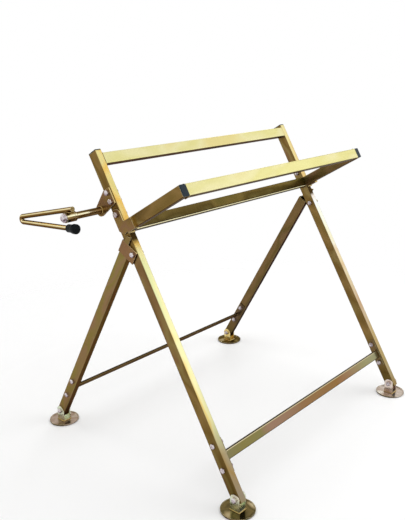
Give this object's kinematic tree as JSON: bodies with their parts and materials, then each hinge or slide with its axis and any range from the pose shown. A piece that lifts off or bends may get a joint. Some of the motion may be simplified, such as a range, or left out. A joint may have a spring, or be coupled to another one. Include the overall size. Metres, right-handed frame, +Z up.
{
  "type": "log sawhorse",
  "caption": "Folding log sawhorse in yellow-zinc steel tube: leaning legs, a hinged cradle and centre beam, cross-bars, round tilting feet and a swinging bent-rod saw rest.",
  "frame": {"origin": "centre of the overall bounding box in X and Y, on the ground that the round feet stand on", "axes": "+X runs to the right along the beam and rails, +Y to the rear legs, +Z up"},
  "size_m": [0.973, 0.764, 0.8392],
  "materials": {
    "frame_tube": "yellow-passivated zinc, thin and slightly iridescent",
    "bracket_plate": "yellow-passivated zinc, a little deeper gold than the tubes",
    "crossbar_steel": "yellow-passivated zinc, brownish",
    "saw_rest_steel": "yellow-passivated zinc on round bar",
    "foot_plate": "pale yellow-pink passivated zinc",
    "fasteners": "bright zinc",
    "end_plug": "smooth black moulded plastic",
    "rubber_cap": "matte black"
  },
  "bodies": {
    "front_frame": {"front_leg_left": "frame_tube", "front_leg_right": "frame_tube", "front_leg_plugs": "end_plug", "front_crossbar": "crossbar_steel", "centre_beam": "frame_tube", "back_rail": "frame_tube", "front_bar_bolts": "fasteners", "front_bar_nuts": "fasteners", "hinge_bolts": "fasteners", "hinge_nuts": "fasteners", "cradle_bolts": "fasteners", "cradle_nuts": "fasteners", "front_foot_bolts": "fasteners", "front_foot_nuts": "fasteners", "saw_bracket": "saw_rest_steel", "saw_bracket_bolts": "fasteners", "saw_bracket_nuts": "fasteners", "saw_pin": "saw_rest_steel", "saw_retainer": "fasteners"},
    "rear_frame": {"rear_leg_left": "frame_tube", "rear_leg_right": "frame_tube", "rear_crossbar": "crossbar_steel", "hinge_plate_left": "bracket_plate", "hinge_plate_right": "bracket_plate", "rear_bar_bolts": "fasteners", "rear_bar_nuts": "fasteners", "rear_foot_bolts": "fasteners", "rear_foot_nuts": "fasteners"},
    "cradle": {"cradle_rail": "frame_tube", "cradle_arm_left": "frame_tube", "cradle_arm_right": "frame_tube", "cradle_bracket_left": "bracket_plate", "cradle_bracket_right": "bracket_plate", "cradle_plugs": "end_plug"},
    "saw_rest": {"saw_rod": "saw_rest_steel", "saw_rod_cap": "rubber_cap"},
    "foot_front_left": {"foot_plate_front_left": "foot_plate", "foot_clevis_front_left": "foot_plate"},
    "foot_rear_left": {"foot_plate_rear_left": "foot_plate", "foot_clevis_rear_left": "foot_plate"},
    "foot_front_right": {"foot_plate_front_right": "foot_plate", "foot_clevis_front_right": "foot_plate"},
    "foot_rear_right": {"foot_plate_rear_right": "foot_plate", "foot_clevis_rear_right": "foot_plate"}
  },
  "joints": [
    {"name": "leg_fold", "type": "hinge", "parent": "front_frame", "child": "rear_frame", "pos_m": [0.04525, -0.01847, 0.58926], "axis": [-1, 0, 0], "range_deg": [0, 52]},
    {"name": "cradle_fold", "type": "hinge", "parent": "front_frame", "child": "cradle", "pos_m": [0.04525, 0.03553, 0.68279], "axis": [-1, 0, 0], "range_deg": [0, 90]},
    {"name": "saw_rest_swing", "type": "hinge", "parent": "front_frame", "child": "saw_rest", "pos_m": [-0.46595, 0.09533, 0.68637], "axis": [1, 0, 0], "range_deg": [-60, 100]},
    {"name": "foot_tilt_front_left", "type": "hinge", "parent": "front_frame", "child": "foot_front_left", "pos_m": [-0.35225, -0.33848, 0.035], "axis": [1, 0, 0], "range_deg": [-45, 45]},
    {"name": "foot_tilt_rear_left", "type": "hinge", "parent": "rear_frame", "child": "foot_rear_left", "pos_m": [-0.35255, 0.33848, 0.035], "axis": [1, 0, 0], "range_deg": [-45, 45]},
    {"name": "foot_tilt_front_right", "type": "hinge", "parent": "front_frame", "child": "foot_front_right", "pos_m": [0.44275, -0.33848, 0.035], "axis": [1, 0, 0], "range_deg": [-45, 45]},
    {"name": "foot_tilt_rear_right", "type": "hinge", "parent": "rear_frame", "child": "foot_rear_right", "pos_m": [0.44305, 0.33848, 0.035], "axis": [1, 0, 0], "range_deg": [-45, 45]}
  ]
}
